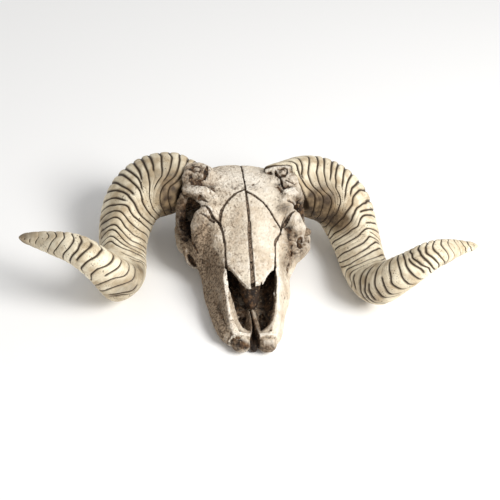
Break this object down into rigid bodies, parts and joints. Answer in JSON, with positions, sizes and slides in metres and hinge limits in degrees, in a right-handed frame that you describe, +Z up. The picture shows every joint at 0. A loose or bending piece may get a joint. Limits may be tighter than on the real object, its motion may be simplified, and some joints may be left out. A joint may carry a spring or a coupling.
{
  "type": "ram skull",
  "caption": "Life-size skull of a full-grown ram, without its lower jaw, with both ridged, outward-curling horn sheaths, lying at rest on its teeth and horns.",
  "frame": {"origin": "on the floor, under the middle of the whole skull with its horns", "axes": "+X across the skull towards the animal's left, along the spread of the horns; -Y towards the muzzle; +Z up, from the teeth to the forehead"},
  "size_m": [0.5172, 0.2637, 0.1084],
  "materials": {
    "bone": null,
    "horn": null
  },
  "bodies": {
    "root": {"braincase": "bone", "frontal_left": "bone", "frontal_right": "bone", "nasal_left": "bone", "nasal_right": "bone", "lacrimal_left": "bone", "lacrimal_right": "bone", "zygomatic_left": "bone", "zygomatic_right": "bone", "maxilla_left": "bone", "maxilla_right": "bone", "premaxilla_left": "bone", "premaxilla_right": "bone", "vomer": "bone", "horn_left": "horn", "horn_right": "horn"}
  },
  "joints": []
}
